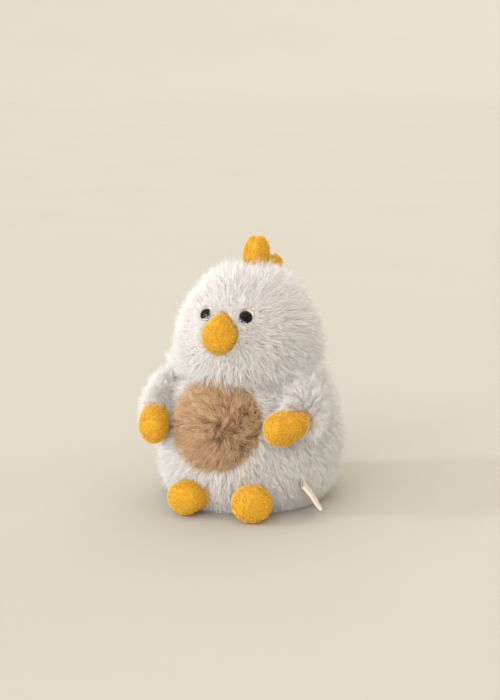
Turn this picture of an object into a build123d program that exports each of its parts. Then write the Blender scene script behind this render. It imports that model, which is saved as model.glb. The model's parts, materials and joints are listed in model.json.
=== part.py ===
from build123d import *
import math
import os

# A seated plush chick with a hanging clasp at the back of its head, in millimetres.
# +Z is up, the chick faces -Y, and the origin is the middle of its flat underside.
# Fur covers are shells that stand for the backing cloth and the dense foot of the pile.

# ---- driving dimensions: covers, torso and head -------------------------------------
FUR_COVER = 2.0            # backing cloth with the dense foot of the long pile
WING_COVER = 1.0           # the wings' pile is thinner at its foot
VELBOA_COVER = 0.8         # short-pile cloth of comb, beak, hands and feet
NECK_Z = 63.0              # height of the seam between torso and head
BASE_THICK = 1.6           # stiffened cloth disc under the torso
TORSO_DEPTH = 1.06         # front-to-back size of the torso over its width
HEAD_DEPTH = 1.14          # the same ratio for the head
HEAD_SHIFT = -1.5          # the face stands this far forward of the torso's axis
HEAD_TOP_Z = 104.5

# heights and half widths of the torso and the head
TORSO_SECTIONS = [(0, 31.5), (4, 35.5), (11, 38), (21, 39.8), (31, 40), (40, 38.6), (46, 36.8),
                  (51, 34.6), (56, 32.2), (60, 30.6), (NECK_Z, 29.8)]
HEAD_SECTIONS = [(NECK_Z, 29.4), (66, 30.6), (70, 31), (75, 30.6), (81, 29.4), (87, 27.2),
                 (92, 24.6), (97, 20.6), (101, 15.8), (103.5, 10.5), (HEAD_TOP_Z, 6)]

PATCH_CENTRE = (-2.4, 40.4)            # x and z of the round belly patch
PATCH_HALF = (18.8, 18.0)              # a circle on the cloth, seen from the front
PATCH_REACH = 60.0

# ---- driving dimensions: eyes, beak and comb ----------------------------------------
EYE_X, EYE_Z = 9.3, 88.7
FACE_X = -0.6                          # the face is sewn a little off centre
EYE_RADIUS = 3.05
EYE_HEIGHT = 2.8
EYE_TURN = 17.0                        # each eye looks outwards
EYE_TILT = 20.0                        # and a little up, square to the brow
EYE_SEAT = 0.5                         # the back of the eye sits this deep in the pile
EYE_STEM_RADIUS = 0.95
EYE_STEM_LENGTH = 5.5
WASHER_RADIUS = 3.2
WASHER_THICK = 1.0
WASHER_DEPTH = FUR_COVER + 0.3         # from the eye's seat to the washer's face
EYE_POCKET = WASHER_RADIUS + 0.1       # hollow that stem and washer press in the stuffing
STEM_POCKET = EYE_STEM_LENGTH + 0.1

# pillows: (distance out, half width, half height) of each ellipse that they pass through
BEAK_BACK = (-1.8, -28.0, 81.0)
BEAK_SECTIONS = [(0, 8.0, 9.0), (5, 8.1, 9.2), (9, 7.4, 8.3), (12, 5.6, 6.3), (14, 2.8, 3.3)]
COMB_FRONT_FOOT, COMB_FRONT_WAY = (0, 9.4, 95.4), (0, -0.04, 1)
COMB_FRONT_SECTIONS = [(0, 5.0, 7.4), (8, 5.9, 8.6), (15, 6.0, 8.7), (20, 5.3, 7.8),
                       (23, 3.9, 5.8), (24.5, 2.4, 3.6)]
COMB_REAR_FOOT, COMB_REAR_WAY = (2.2, 16.4, 91.0), (0.06, 0.5, 0.87)
COMB_REAR_SECTIONS = [(0, 3.8, 5.2), (7, 4.6, 6.2), (13, 4.6, 6.1), (17, 3.7, 4.9),
                      (19.4, 1.8, 2.6)]

# ---- driving dimensions: wings, hands and feet --------------------------------------
# The chick sits unevenly: its right wing hangs lower and its right foot is drawn in.
WING_GAP = 0.3                         # air between a wing and the torso it rests against
WING_SHOULDER = {"left": (31.9, -12.5, 53.8), "right": (-32.6, -12.5, 52.6)}
WING_WRIST = {"left": (33.9, -29.0, 45.2), "right": (-35.2, -28.0, 41.4)}
HAND_TIP = {"left": (22.6, -49.0, 39.8), "right": (-29.2, -46.8, 36.6)}
WING_SLOPE = {"left": (-0.42, 0.0, 0.91), "right": (0.40, 0.0, 0.92)}
WING_SECTIONS = [(-2, 3.8, 1.5), (0.5, 6.6, 2.8), (5, 8.4, 3.7), (10, 9.0, 4.2), (15, 8.6, 4.4),
                 (18.5, 7.6, 4.5)]
HAND_SECTIONS = [(-2, 6.4, 4.4), (4, 8.0, 6.2), (10, 8.5, 6.8), (15, 7.4, 6.0),
                 (18.6, 4.6, 3.8), (19.8, 2.6, 2.2)]
ANKLE = {"left": (13.8, 8.4), "right": (-11.6, 8.6)}
FOOT_TURN = {"left": 22.0, "right": -20.0}     # each foot points outwards by this angle
FOOT_SIZE = {"left": 1.0, "right": 0.93}
FOOT_OUT = 2.3                                 # back of the foot to the torso's surface
FOOT_SECTIONS = [(0, 7.2, 6.6), (3, 8.8, 7.9), (7, 9.0, 8.2), (10, 7.8, 7.1), (12, 5.0, 4.6),
                 (12.8, 2.8, 2.6)]

# ---- driving dimensions: label ------------------------------------------------------
LABEL_WIDTH, LABEL_REACH, LABEL_THICK = 15.0, 9.0, 0.9
LABEL_POINT = (35.8, -20.0, 10.8)      # middle of the label's sewn edge
LABEL_EDGE = (-0.379, -0.402, 0.833)   # up along its sewn edge
LABEL_FACE = (0.808, 0.294, 0.509)     # direction its outer face looks

# ---- driving dimensions: ribbon and clasp, by distance down the hanging chain -------
HANG_POINT = (0.0, 31.8, 86.0)         # where the ribbon leaves the seam of the head
HANG_LEAN = 21.5                       # the chain leans out over the back's pile
RIBBON_WIDTH = 8.0
RIBBON_DOUBLE = 1.2                    # two plies of ribbon sewn together
RIBBON_JOIN = 9.0                      # the plies part here to go round the bail's bar
RIBBON_FLARE = 8.0                     # and widen from here
EYELET_OUTER, EYELET_INNER = 1.95, 1.3
EYELET_SHOULDER = (13.4, 1.85)         # where the widened plies meet the eyelet
BAIL_AT = 14.0
BAIL_WIRE = 1.6
BAIL_WIDTH, BAIL_LENGTH = 13.0, 9.0
BAIL_CORNERS = (2.0, 0.8)              # outer and inner corner radius
HUB_RADIUS = 2.3
HUB_START, HUB_END = 20.6, 24.4
POST_RADIUS = 1.24
POST_CLEARANCE = 0.06
RIVET_RADIUS, RIVET_THICK, RUN_GAP = 2.2, 1.1, 0.1
HOOK_START = 24.5
HOOK_BASE = (6.4, 6.5)                 # width and length of the hook's neck
HOOK_MIDDLE = 37.6
HOOK_OUTER = (6.4, 9.7)
HOOK_INNER = (3.9, 6.7)
HOOK_THICK = 2.8
CHEEK_RADIUS = 2.0                     # of the two cheeks that hold the gate's root
GATE_PIVOT = (4.9, 31.2)
GATE_LENGTH = 11.2
GATE_WIDTH = 2.0
GATE_THICK = 1.3
GATE_ROOT = 1.5                        # radius of the thinner root, beside its spring
GATE_END_GAP = 0.12
SLOT_CORNER, SLOT_SIZE, SLOT_WIDTH = (2.0, 29.2), (8.0, 6.0), 1.5
MOUTH_CORNER, MOUTH_SIZE = (1.4, 32.8), (8.0, 14.0)
MOUTH_KEPT = 2.6                       # radius about the pivot that the mouth leaves whole
PIN_RADIUS = 0.6
PIN_CLEARANCE = 0.05
SPRING_RADIUS, SPRING_LENGTH, SPRING_GAP = 1.2, 0.5, 0.1


# ---- shared shapes ------------------------------------------------------------------
def soft_solid(plane, sections, inset=0.0):
    """Loft through ellipses: (distance along the plane's normal, half width, half height)."""
    with BuildPart() as solid:
        for distance, half_width, half_height in sections:
            with BuildSketch(plane.offset(distance)):
                Ellipse(half_width - inset, half_height - inset)
        loft()
    return solid.part


def body_solid(sections, depth, shift, inset=0.0):
    """A torso or head: upright loft of ellipses, deeper than wide by the given ratio."""
    plane = Plane(origin=(0, shift, 0), x_dir=(0, 1, 0), z_dir=(0, 0, 1))
    stations = [(z, half * depth, half) for z, half in sections]
    return soft_solid(plane, stations, inset)


def shrunk(sections, inset, closed_ends=(True, True)):
    """Move a pillow's closed ends inwards, so that its stuffing has room for the cover."""
    first, last = sections[0][0], sections[-1][0]
    low = first + (inset if closed_ends[0] else 0)
    high = last - (inset if closed_ends[1] else 0)
    scale_z = (high - low) / (last - first)
    return [(low + (row[0] - first) * scale_z, *row[1:]) for row in sections]


def pillow(name, plane, sections, cutters=()):
    """A sewn cover and its stuffing, both trimmed by the pieces they are sewn against."""
    outer = soft_solid(plane, sections)
    inner = soft_solid(plane, shrunk(sections, VELBOA_COVER), VELBOA_COVER)
    with BuildPart() as cover:
        add(outer)
        add(inner, mode=Mode.SUBTRACT)
        for cutter in cutters:
            add(cutter, mode=Mode.SUBTRACT)
    with BuildPart() as stuffing:
        add(inner)
        for cutter in cutters:
            add(cutter, mode=Mode.SUBTRACT)
    save(cover.part, f"{name}_cover")
    save(stuffing.part, f"{name}_stuffing")
    return outer


def save(part, name):
    """Label a finished piece and write its STEP file."""
    part.label = name
    export_step(part, f"parts/{name}.step")


def ellipse_y(x, half_width, depth, shift):
    """Front surface of a torso or head section at a given x."""
    return shift - depth * half_width * math.sqrt(1 - (x / half_width) ** 2)


def half_width_at(z, sections):
    """Half width of the torso or head at a height, between its listed sections."""
    for (z0, r0), (z1, r1) in zip(sections, sections[1:]):
        if z0 <= z <= z1:
            return r0 + (r1 - r0) * (z - z0) / (z1 - z0)
    raise ValueError("height outside the body")


os.makedirs("parts", exist_ok=True)

# ---- torso --------------------------------------------------------------------------
torso_outer = body_solid(TORSO_SECTIONS, TORSO_DEPTH, 0)
torso_inner = body_solid(TORSO_SECTIONS, TORSO_DEPTH, 0, FUR_COVER)
patch_plane = Plane(origin=(PATCH_CENTRE[0], 0, PATCH_CENTRE[1]), x_dir=(1, 0, 0),
                    z_dir=(0, -1, 0))

with BuildPart() as torso_cover:
    add(torso_outer)
    add(torso_inner, mode=Mode.SUBTRACT)
    with BuildSketch(patch_plane):
        Ellipse(*PATCH_HALF)
    extrude(amount=PATCH_REACH, mode=Mode.SUBTRACT)
save(torso_cover.part, "torso_cover")

with BuildPart() as belly_patch:
    with BuildSketch(patch_plane):
        Ellipse(*PATCH_HALF)
    extrude(amount=PATCH_REACH)
    add(torso_outer, mode=Mode.INTERSECT)
    add(torso_inner, mode=Mode.SUBTRACT)
save(belly_patch.part, "belly_patch")

with BuildPart() as base_panel:
    add(torso_inner)
    split(bisect_by=Plane.XY.offset(BASE_THICK), keep=Keep.BOTTOM)
save(base_panel.part, "base_panel")

with BuildPart() as torso_stuffing:
    add(torso_inner)
    split(bisect_by=Plane.XY.offset(BASE_THICK), keep=Keep.TOP)
save(torso_stuffing.part, "torso_stuffing")

# ---- head ---------------------------------------------------------------------------
head_outer = body_solid(HEAD_SECTIONS, HEAD_DEPTH, HEAD_SHIFT)
head_room = shrunk(HEAD_SECTIONS, FUR_COVER, closed_ends=(False, True))
head_inner = body_solid(head_room, HEAD_DEPTH, HEAD_SHIFT, FUR_COVER)

eye_y = ellipse_y(EYE_X, half_width_at(EYE_Z, HEAD_SECTIONS), HEAD_DEPTH, HEAD_SHIFT)


def eye_plane(side):
    """The eye's own plane, on the chick's left (side 1) or right (side -1) of the beak."""
    out = math.cos(math.radians(EYE_TILT))
    normal = (side * out * math.sin(math.radians(EYE_TURN)),
              -out * math.cos(math.radians(EYE_TURN)), math.sin(math.radians(EYE_TILT)))
    seat = Vector(FACE_X + side * EYE_X, eye_y, EYE_Z) - Vector(normal) * EYE_SEAT
    return Plane(origin=seat, x_dir=(normal[1], -normal[0], 0), z_dir=normal)


with BuildPart() as head_cover:
    add(head_outer)
    add(head_inner, mode=Mode.SUBTRACT)
    for side in (1, -1):
        with BuildSketch(eye_plane(side)):
            Circle(EYE_RADIUS)
        extrude(amount=EYE_HEIGHT, mode=Mode.SUBTRACT)
        with BuildSketch(eye_plane(side)):
            Circle(EYE_STEM_RADIUS)
        extrude(amount=-EYE_STEM_LENGTH, mode=Mode.SUBTRACT)
save(head_cover.part, "head_cover")

with BuildPart() as head_stuffing:
    add(head_inner)
    for side in (1, -1):
        with BuildSketch(eye_plane(side)):
            Circle(EYE_POCKET)
        extrude(amount=-STEM_POCKET, mode=Mode.SUBTRACT)
        with BuildSketch(eye_plane(side)):
            Circle(EYE_POCKET)
        extrude(amount=EYE_HEIGHT, mode=Mode.SUBTRACT)
save(head_stuffing.part, "head_stuffing")

for side, name in ((1, "left"), (-1, "right")):
    sphere_radius = (EYE_RADIUS ** 2 + EYE_HEIGHT ** 2) / (2 * EYE_HEIGHT)
    with BuildPart() as eye:
        with BuildSketch(eye_plane(side)):
            Circle(EYE_RADIUS)
        extrude(amount=EYE_HEIGHT)
        with Locations(eye_plane(side).offset(EYE_HEIGHT - sphere_radius)):
            Sphere(sphere_radius, mode=Mode.INTERSECT)
        with BuildSketch(eye_plane(side)):
            Circle(EYE_STEM_RADIUS)
        extrude(amount=-EYE_STEM_LENGTH)
    save(eye.part, f"{name}_eye")

    with BuildPart() as washer:
        with BuildSketch(eye_plane(side).offset(-WASHER_DEPTH)):
            Circle(WASHER_RADIUS)
            Circle(EYE_STEM_RADIUS, mode=Mode.SUBTRACT)
        extrude(amount=-WASHER_THICK)
        add(head_cover.part, mode=Mode.SUBTRACT)
    save(washer.part, f"{name}_eye_washer")

# ---- beak and comb ------------------------------------------------------------------
beak_plane = Plane(origin=BEAK_BACK, x_dir=(1, 0, 0), z_dir=(0, -1, 0))
comb_front_plane = Plane(origin=COMB_FRONT_FOOT, x_dir=(1, 0, 0), z_dir=COMB_FRONT_WAY)
comb_rear_plane = Plane(origin=COMB_REAR_FOOT, x_dir=(1, 0, 0), z_dir=COMB_REAR_WAY)
pillow("beak", beak_plane, BEAK_SECTIONS, [head_outer])
comb_front = pillow("comb_front_lobe", comb_front_plane, COMB_FRONT_SECTIONS, [head_outer])
pillow("comb_rear_lobe", comb_rear_plane, COMB_REAR_SECTIONS, [head_outer, comb_front])

# ---- wings with their hands, and feet -----------------------------------------------
torso_gap = body_solid(TORSO_SECTIONS, TORSO_DEPTH, 0, -WING_GAP)
torso_backing = body_solid(TORSO_SECTIONS, TORSO_DEPTH, 0, -WING_GAP - WING_COVER)

for name in ("left", "right"):
    shoulder, wrist, tip = (Vector(*place[name]) for place in (WING_SHOULDER, WING_WRIST, HAND_TIP))
    wing_plane = Plane(origin=shoulder, x_dir=WING_SLOPE[name], z_dir=wrist - shoulder)
    with BuildPart() as wing_outer:
        add(soft_solid(wing_plane, WING_SECTIONS))
        add(torso_gap, mode=Mode.SUBTRACT)
    with BuildPart() as wing_stuffing:
        add(soft_solid(wing_plane, shrunk(WING_SECTIONS, WING_COVER), WING_COVER))
        add(torso_backing, mode=Mode.SUBTRACT)
    with BuildPart() as wing_cover:
        add(wing_outer.part)
        add(wing_stuffing.part, mode=Mode.SUBTRACT)
    save(wing_cover.part, f"{name}_wing_cover")
    save(wing_stuffing.part, f"{name}_wing_stuffing")

    hand_plane = Plane(origin=wrist, x_dir=(0, 0, 1), z_dir=tip - wrist)
    pillow(f"{name}_hand", hand_plane, HAND_SECTIONS, [wing_outer.part])

    ankle_x, ankle_z = ANKLE[name]
    turn = math.radians(FOOT_TURN[name])
    ankle_y = ellipse_y(ankle_x, half_width_at(ankle_z, TORSO_SECTIONS), TORSO_DEPTH, 0)
    outwards = Vector(math.sin(turn), -math.cos(turn), 0)
    ankle = Vector(ankle_x, ankle_y, ankle_z) + outwards * FOOT_OUT
    foot_plane = Plane(origin=ankle, x_dir=(-outwards.Y, outwards.X, 0), z_dir=outwards)
    foot_sections = [tuple(value * FOOT_SIZE[name] for value in row) for row in FOOT_SECTIONS]
    pillow(f"{name}_foot", foot_plane, foot_sections)

# ---- folded label on the side seam --------------------------------------------------
label_plane = Plane(origin=LABEL_POINT, x_dir=LABEL_EDGE, z_dir=LABEL_FACE)
with BuildPart() as side_label:
    with BuildSketch(label_plane):
        Rectangle(LABEL_WIDTH, LABEL_REACH, align=(Align.CENTER, Align.MIN))
    extrude(amount=LABEL_THICK / 2, both=True)
save(side_label.part, "side_label")

# ---- ribbon and clasp, drawn on a plane that lies along the hanging chain -----------
# On that plane x is the chick's X and y runs down the chain from HANG_POINT.
lean = math.radians(HANG_LEAN)
chain = Plane(origin=HANG_POINT, x_dir=(1, 0, 0), z_dir=(0, math.cos(lean), math.sin(lean)))
down = Vector(0, math.sin(lean), -math.cos(lean))


def along(distance, x=0.0):
    """A plane across the chain, its normal pointing down the chain."""
    return Plane(origin=Vector(*HANG_POINT) + down * distance + Vector(x, 0, 0),
                 x_dir=(1, 0, 0), z_dir=down)


ribbon_side = Plane(origin=HANG_POINT, x_dir=down, z_dir=(1, 0, 0))
with BuildPart() as hanging_loop:
    with BuildSketch(ribbon_side):
        Rectangle(RIBBON_JOIN, RIBBON_DOUBLE, align=(Align.MIN, Align.CENTER))
        with Locations((BAIL_AT, 0)):
            Circle(EYELET_OUTER)
        Polygon((RIBBON_FLARE, -RIBBON_DOUBLE / 2), (EYELET_SHOULDER[0], -EYELET_SHOULDER[1]),
                EYELET_SHOULDER, (RIBBON_FLARE, RIBBON_DOUBLE / 2), align=None)
        with Locations((BAIL_AT, 0)):
            Circle(EYELET_INNER, mode=Mode.SUBTRACT)
    extrude(amount=RIBBON_WIDTH / 2, both=True)
save(hanging_loop.part, "hanging_loop")

frame_top = BAIL_AT - BAIL_WIRE / 2
with BuildPart() as clasp_bail:
    with BuildSketch(chain):
        with Locations((0, frame_top)):
            RectangleRounded(BAIL_WIDTH, BAIL_LENGTH, BAIL_CORNERS[0],
                             align=(Align.CENTER, Align.MIN))
        with Locations((0, frame_top + BAIL_WIRE)):
            RectangleRounded(BAIL_WIDTH - 2 * BAIL_WIRE, BAIL_LENGTH - 2 * BAIL_WIRE,
                             BAIL_CORNERS[1], align=(Align.CENTER, Align.MIN),
                             mode=Mode.SUBTRACT)
    extrude(amount=BAIL_WIRE / 2, both=True)
    with BuildSketch(along(HUB_START)):
        Circle(HUB_RADIUS)
    extrude(amount=HUB_END - HUB_START)
    with BuildSketch(along(HUB_START)):
        Circle(POST_RADIUS + POST_CLEARANCE)
    extrude(amount=HUB_END - HUB_START, mode=Mode.SUBTRACT)
save(clasp_bail.part, "clasp_bail")

gate_sweep = GATE_LENGTH + GATE_WIDTH / 2 + GATE_END_GAP
with BuildPart() as clasp_hook:
    with BuildSketch(chain):
        with Locations((0, HOOK_MIDDLE)):
            Ellipse(*HOOK_OUTER)
        with Locations((0, HOOK_START)):
            Rectangle(*HOOK_BASE, align=(Align.CENTER, Align.MIN))
        with Locations(GATE_PIVOT):
            Circle(CHEEK_RADIUS)
        with Locations((0, HOOK_MIDDLE)):
            Ellipse(*HOOK_INNER, mode=Mode.SUBTRACT)
    extrude(amount=HOOK_THICK / 2, both=True)
    # the mouth that the gate closes: round about the pivot, so the gate's end clears it
    with BuildSketch(chain):
        with Locations(GATE_PIVOT):
            Circle(gate_sweep)
            Circle(MOUTH_KEPT, mode=Mode.SUBTRACT)
        with Locations(MOUTH_CORNER):
            Rectangle(*MOUTH_SIZE, align=(Align.MIN, Align.MIN), mode=Mode.INTERSECT)
    extrude(amount=HOOK_THICK, both=True, mode=Mode.SUBTRACT)
    # the slot between the two cheeks that hold the gate's root
    with BuildSketch(chain):
        with Locations(SLOT_CORNER):
            Rectangle(*SLOT_SIZE, align=(Align.MIN, Align.MIN))
    extrude(amount=SLOT_WIDTH / 2, both=True, mode=Mode.SUBTRACT)
    with BuildSketch(chain):
        with Locations(GATE_PIVOT):
            Circle(PIN_RADIUS)
    extrude(amount=HOOK_THICK, both=True, mode=Mode.SUBTRACT)
    with BuildSketch(along(HUB_START - RUN_GAP)):
        Circle(POST_RADIUS)
    extrude(amount=HOOK_START - HUB_START + 2 * RUN_GAP)
    with BuildSketch(along(HUB_START - RUN_GAP)):
        Circle(RIVET_RADIUS)
    extrude(amount=-RIVET_THICK)
save(clasp_hook.part, "clasp_hook")

with BuildPart() as clasp_gate:
    with BuildSketch(chain):
        with Locations((GATE_PIVOT[0], GATE_PIVOT[1] + GATE_LENGTH / 2)):
            SlotCenterToCenter(GATE_LENGTH, GATE_WIDTH, rotation=90)
    extrude(amount=GATE_THICK / 2, both=True)
    with BuildSketch(chain):
        with Locations(GATE_PIVOT):
            Circle(GATE_ROOT)
    extrude(amount=GATE_THICK, mode=Mode.SUBTRACT)
    with BuildSketch(chain):
        with Locations(GATE_PIVOT):
            Circle(PIN_RADIUS + PIN_CLEARANCE)
    extrude(amount=GATE_THICK, both=True, mode=Mode.SUBTRACT)
save(clasp_gate.part, "clasp_gate")

with BuildPart() as clasp_gate_pin:
    with BuildSketch(chain):
        with Locations(GATE_PIVOT):
            Circle(PIN_RADIUS)
    extrude(amount=HOOK_THICK / 2, both=True)
save(clasp_gate_pin.part, "clasp_gate_pin")

with BuildPart() as clasp_spring:
    with BuildSketch(chain.offset(SPRING_GAP)):
        with Locations(GATE_PIVOT):
            Circle(SPRING_RADIUS)
            Circle(PIN_RADIUS, mode=Mode.SUBTRACT)
    extrude(amount=SPRING_LENGTH)
save(clasp_spring.part, "clasp_spring")
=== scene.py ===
import json
import math

import bmesh
import bpy
import numpy as np
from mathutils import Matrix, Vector
from mathutils.bvhtree import BVHTree
from mathutils.kdtree import KDTree


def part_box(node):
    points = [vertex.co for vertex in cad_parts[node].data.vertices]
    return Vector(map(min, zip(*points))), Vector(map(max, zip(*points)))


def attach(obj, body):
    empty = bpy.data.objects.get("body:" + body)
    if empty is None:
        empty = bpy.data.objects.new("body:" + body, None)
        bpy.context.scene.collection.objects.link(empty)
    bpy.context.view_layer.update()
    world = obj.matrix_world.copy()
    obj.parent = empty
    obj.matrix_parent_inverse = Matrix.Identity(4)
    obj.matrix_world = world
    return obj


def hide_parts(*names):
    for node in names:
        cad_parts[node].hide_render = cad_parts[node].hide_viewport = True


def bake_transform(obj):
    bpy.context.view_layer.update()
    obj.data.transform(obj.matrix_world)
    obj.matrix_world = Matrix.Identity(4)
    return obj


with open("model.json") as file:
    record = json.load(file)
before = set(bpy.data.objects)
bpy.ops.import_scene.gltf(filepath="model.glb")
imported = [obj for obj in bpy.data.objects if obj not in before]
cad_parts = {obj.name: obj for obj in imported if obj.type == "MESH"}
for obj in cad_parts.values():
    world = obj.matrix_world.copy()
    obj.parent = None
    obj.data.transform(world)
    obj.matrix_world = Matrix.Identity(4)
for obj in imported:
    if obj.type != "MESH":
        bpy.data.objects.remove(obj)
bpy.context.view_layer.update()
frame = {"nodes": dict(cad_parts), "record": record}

# A seated plush chick. The frame is in metres: +Z up, the chick faces -Y, its left is +X.
MM = 0.001
SIDES = {"left": 1, "right": -1}
UP = np.array((0.0, 0.0, 1.0))
rng = np.random.default_rng(20)

# the pile: depths below the CAD surface where the cloth lies, and strand lengths
BODY_CLOTH_DEPTH = 3.5 * MM
WING_CLOTH_DEPTH = 1.2 * MM
VELBOA_DEPTH = 0.7 * MM
BODY_PILE = 9.6 * MM
HEAD_PER_MM2, TORSO_PER_MM2, WING_PER_MM2 = 4.8, 4.6, 8.0    # strands, before thinning
FACE_PER_MM2 = 7.0                          # more, shorter strands round beak and eyes
PATCH_PER_MM2 = 12.0
STRAND_WIDTH = 0.090 * MM                   # half the width of a strand at its root
NAP_PER_MM2, NAP_LENGTH, NAP_WIDTH = 7.0, 1.15 * MM, 0.105 * MM
LOOSE_SHARE = 0.07                          # strands that stray from their lock
NAP_TUFT = 10                               # short-pile strands that lean together
DENSITY = 1.0       # fewer strands while trying things
STRAND_HEIGHTS = (0.0, 0.36, 0.70)           # rings of points along a strand of long pile
NAP_HEIGHTS = (0.0, 0.5)                    # and along one of short pile
MAX_STRANDS = 13000                         # strands in one piece
FLOOR_CLEAR = 0.25 * MM                     # pile that reaches the floor lies along it
STAGE_FADE = 0.45                           # height over which painted shade tones the backdrop down
SPOKES = 96                                 # points round a turned shape
COLUMNS = 64                                # colour columns in a fur piece's own UV map


# ---- small helpers
def centre_of(node):
    low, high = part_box(node)
    return np.array((low + high) / 2)


def half_size_of(node):
    low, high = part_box(node)
    return np.array(high - low) / 2


def unit(v):
    return v / np.maximum(np.linalg.norm(v, axis=-1, keepdims=True), 1e-12)


def smoothstep(edge0, edge1, x):
    t = np.clip((x - edge0) / (edge1 - edge0), 0, 1)
    return t * t * (3 - 2 * t)


def along_surface(direction, normals):
    """The part of a direction that lies in the surface."""
    return unit(direction - np.sum(direction * normals, axis=1, keepdims=True) * normals)


def new_object(name, vertices, triangles, material):
    """A mesh object from plain arrays of points and of polygons with equal corner counts."""
    corners = triangles.shape[1]
    mesh = bpy.data.meshes.new(name)
    mesh.vertices.add(len(vertices))
    mesh.vertices.foreach_set("co", vertices.astype(np.float32).ravel())
    mesh.loops.add(triangles.size)
    mesh.loops.foreach_set("vertex_index", triangles.astype(np.int32).ravel())
    mesh.polygons.add(len(triangles))
    mesh.polygons.foreach_set("loop_start", np.arange(0, triangles.size, corners, dtype=np.int32))
    mesh.update(calc_edges=True)
    mesh.shade_smooth()
    obj = bpy.data.objects.new(name, mesh)
    bpy.context.scene.collection.objects.link(obj)
    mesh.materials.append(material)
    return obj


def joined(parts):
    """Points and faces of several meshes as one."""
    base, points, faces = 0, [], []
    for part_points, part_faces in parts:
        points.append(part_points)
        faces.append(part_faces + base)
        base += len(part_points)
    return np.vstack(points), np.vstack(faces)


def areas_of(points, triangles):
    a, b, c = (points[triangles[:, k]] for k in range(3))
    return np.linalg.norm(np.cross(b - a, c - a), axis=1) / 2


def vertex_normals(points, triangles):
    a, b, c = (points[triangles[:, k]] for k in range(3))
    face = np.cross(b - a, c - a)
    normals = np.zeros_like(points)
    for k in range(3):
        np.add.at(normals, triangles[:, k], face)
    return unit(normals)


def piece(name, points, faces, material, body, slot, replaces=(), fill=None):
    """A mesh object that rides on a body, in place of some CAD nodes."""
    obj = new_object(name, points, faces, material)
    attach(obj, body)
    if replaces:
        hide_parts(*replaces)
    return obj


def nearest_of(points, places):
    """For each place, the index of the nearest of the points."""
    tree = KDTree(len(points))
    for i, point in enumerate(points):
        tree.insert(point, i)
    tree.balance()
    return np.array([tree.find(place)[1] for place in places])


def ring_triangles(rings, spokes, capped=True):
    """Triangles between closed rings of points, and a fan over each end."""
    faces = []
    for i in range(rings - 1):
        for k in range(spokes):
            n = (k + 1) % spokes
            a, b = i * spokes, (i + 1) * spokes
            faces += [(a + k, a + n, b + n), (a + k, b + n, b + k)]
    if capped:
        last = (rings - 1) * spokes
        for k in range(1, spokes - 1):
            faces += [(0, k + 1, k), (last, last + k, last + k + 1)]
    return np.array(faces)


def turned(profile):
    """Rings of points round Z, from (radius, height) pairs."""
    turn = np.linspace(0, 2 * math.pi, SPOKES, endpoint=False)
    return np.vstack([np.stack([r * np.cos(turn), r * np.sin(turn), np.full(SPOKES, z)], axis=1)
                      for r, z in profile])


def tree_of(*nodes):
    """One ray-casting tree over several CAD nodes."""
    parts = []
    for node in nodes:
        mesh = frame["nodes"][node].data
        mesh.calc_loop_triangles()
        parts.append((np.array([vertex.co for vertex in mesh.vertices]),
                      np.array([triangle.vertices for triangle in mesh.loop_triangles])))
    return BVHTree.FromPolygons(*(part.tolist() for part in joined(parts)))


def neighbour_average(edges, values):
    total, count = np.zeros_like(values), np.zeros(len(values))
    for a, b in ((0, 1), (1, 0)):
        np.add.at(total, edges[:, a], values[edges[:, b]])
        np.add.at(count, edges[:, a], 1)
    return total / count[:, None]


def wrap(nodes, sink, level=5, smooth=2, centre=None, bridge=()):
    """Points and triangles of a closed skin laid over CAD nodes, then moved by sink.

    bridge lists (point, radius) places where the skin is drawn straight across a hole.
    sink gives each point's movement from its place and normal."""
    tree = tree_of(*nodes)
    if centre is None:
        centre = centre_of(nodes[0])
    bm = bmesh.new()
    bmesh.ops.create_icosphere(bm, subdivisions=level, radius=1.0)
    rays = np.array([v.co for v in bm.verts])
    triangles = np.array([[v.index for v in f.verts] for f in bm.faces])
    bm.free()
    reach = 0.2
    points = np.empty_like(rays)
    for i, ray in enumerate(rays):
        hit = tree.ray_cast(Vector(centre + ray * reach), Vector(-ray))[0]
        points[i] = hit if hit is not None else centre
    sides = triangles[:, [0, 1, 1, 2, 2, 0]].reshape(-1, 2)
    edges = np.unique(np.sort(sides, axis=1), axis=0)
    for place, radius in bridge:
        way = unit(place - centre)
        beside = np.linalg.norm(np.cross(rays, way), axis=1) * np.linalg.norm(place - centre)
        inside = (np.linalg.norm(points - place, axis=1) < radius) | (
            (beside < radius) & (rays @ way > 0))
        for _ in range(120):
            points[inside] = neighbour_average(edges, points)[inside]
    for _ in range(smooth):
        points = 0.5 * points + 0.5 * neighbour_average(edges, points)
    return points + sink(points, vertex_normals(points, triangles)), triangles


def sunk(depth, root, reach):
    """A movement: inwards by a depth, but outwards by a reach where the piece is rooted."""
    def sink(_, normals):
        share = smoothstep(0.25, 0.7, normals @ root)[:, None]
        return -depth * normals * (1 - share) + reach * root * share
    return sink


def scatter(points, triangles, per_mm2, keep=None):
    """Random roots on a skin, spread evenly by area: places and normals."""
    normals = vertex_normals(points, triangles)
    area = areas_of(points, triangles)
    count = int(area.sum() / MM ** 2 * per_mm2 * DENSITY)
    chosen = rng.choice(len(triangles), count, p=area / area.sum())
    u, v = np.sqrt(rng.random(count)), rng.random(count)
    weights = np.stack([1 - u, u * (1 - v), u * v], axis=1)
    roots = sum(points[triangles[chosen, k]] * weights[:, k:k + 1] for k in range(3))
    root_normals = unit(sum(normals[triangles[chosen, k]] * weights[:, k:k + 1] for k in range(3)))
    if keep is not None:
        kept = keep(roots) > rng.random(len(roots))
        roots, root_normals = roots[kept], root_normals[kept]
    return roots, root_normals


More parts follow.
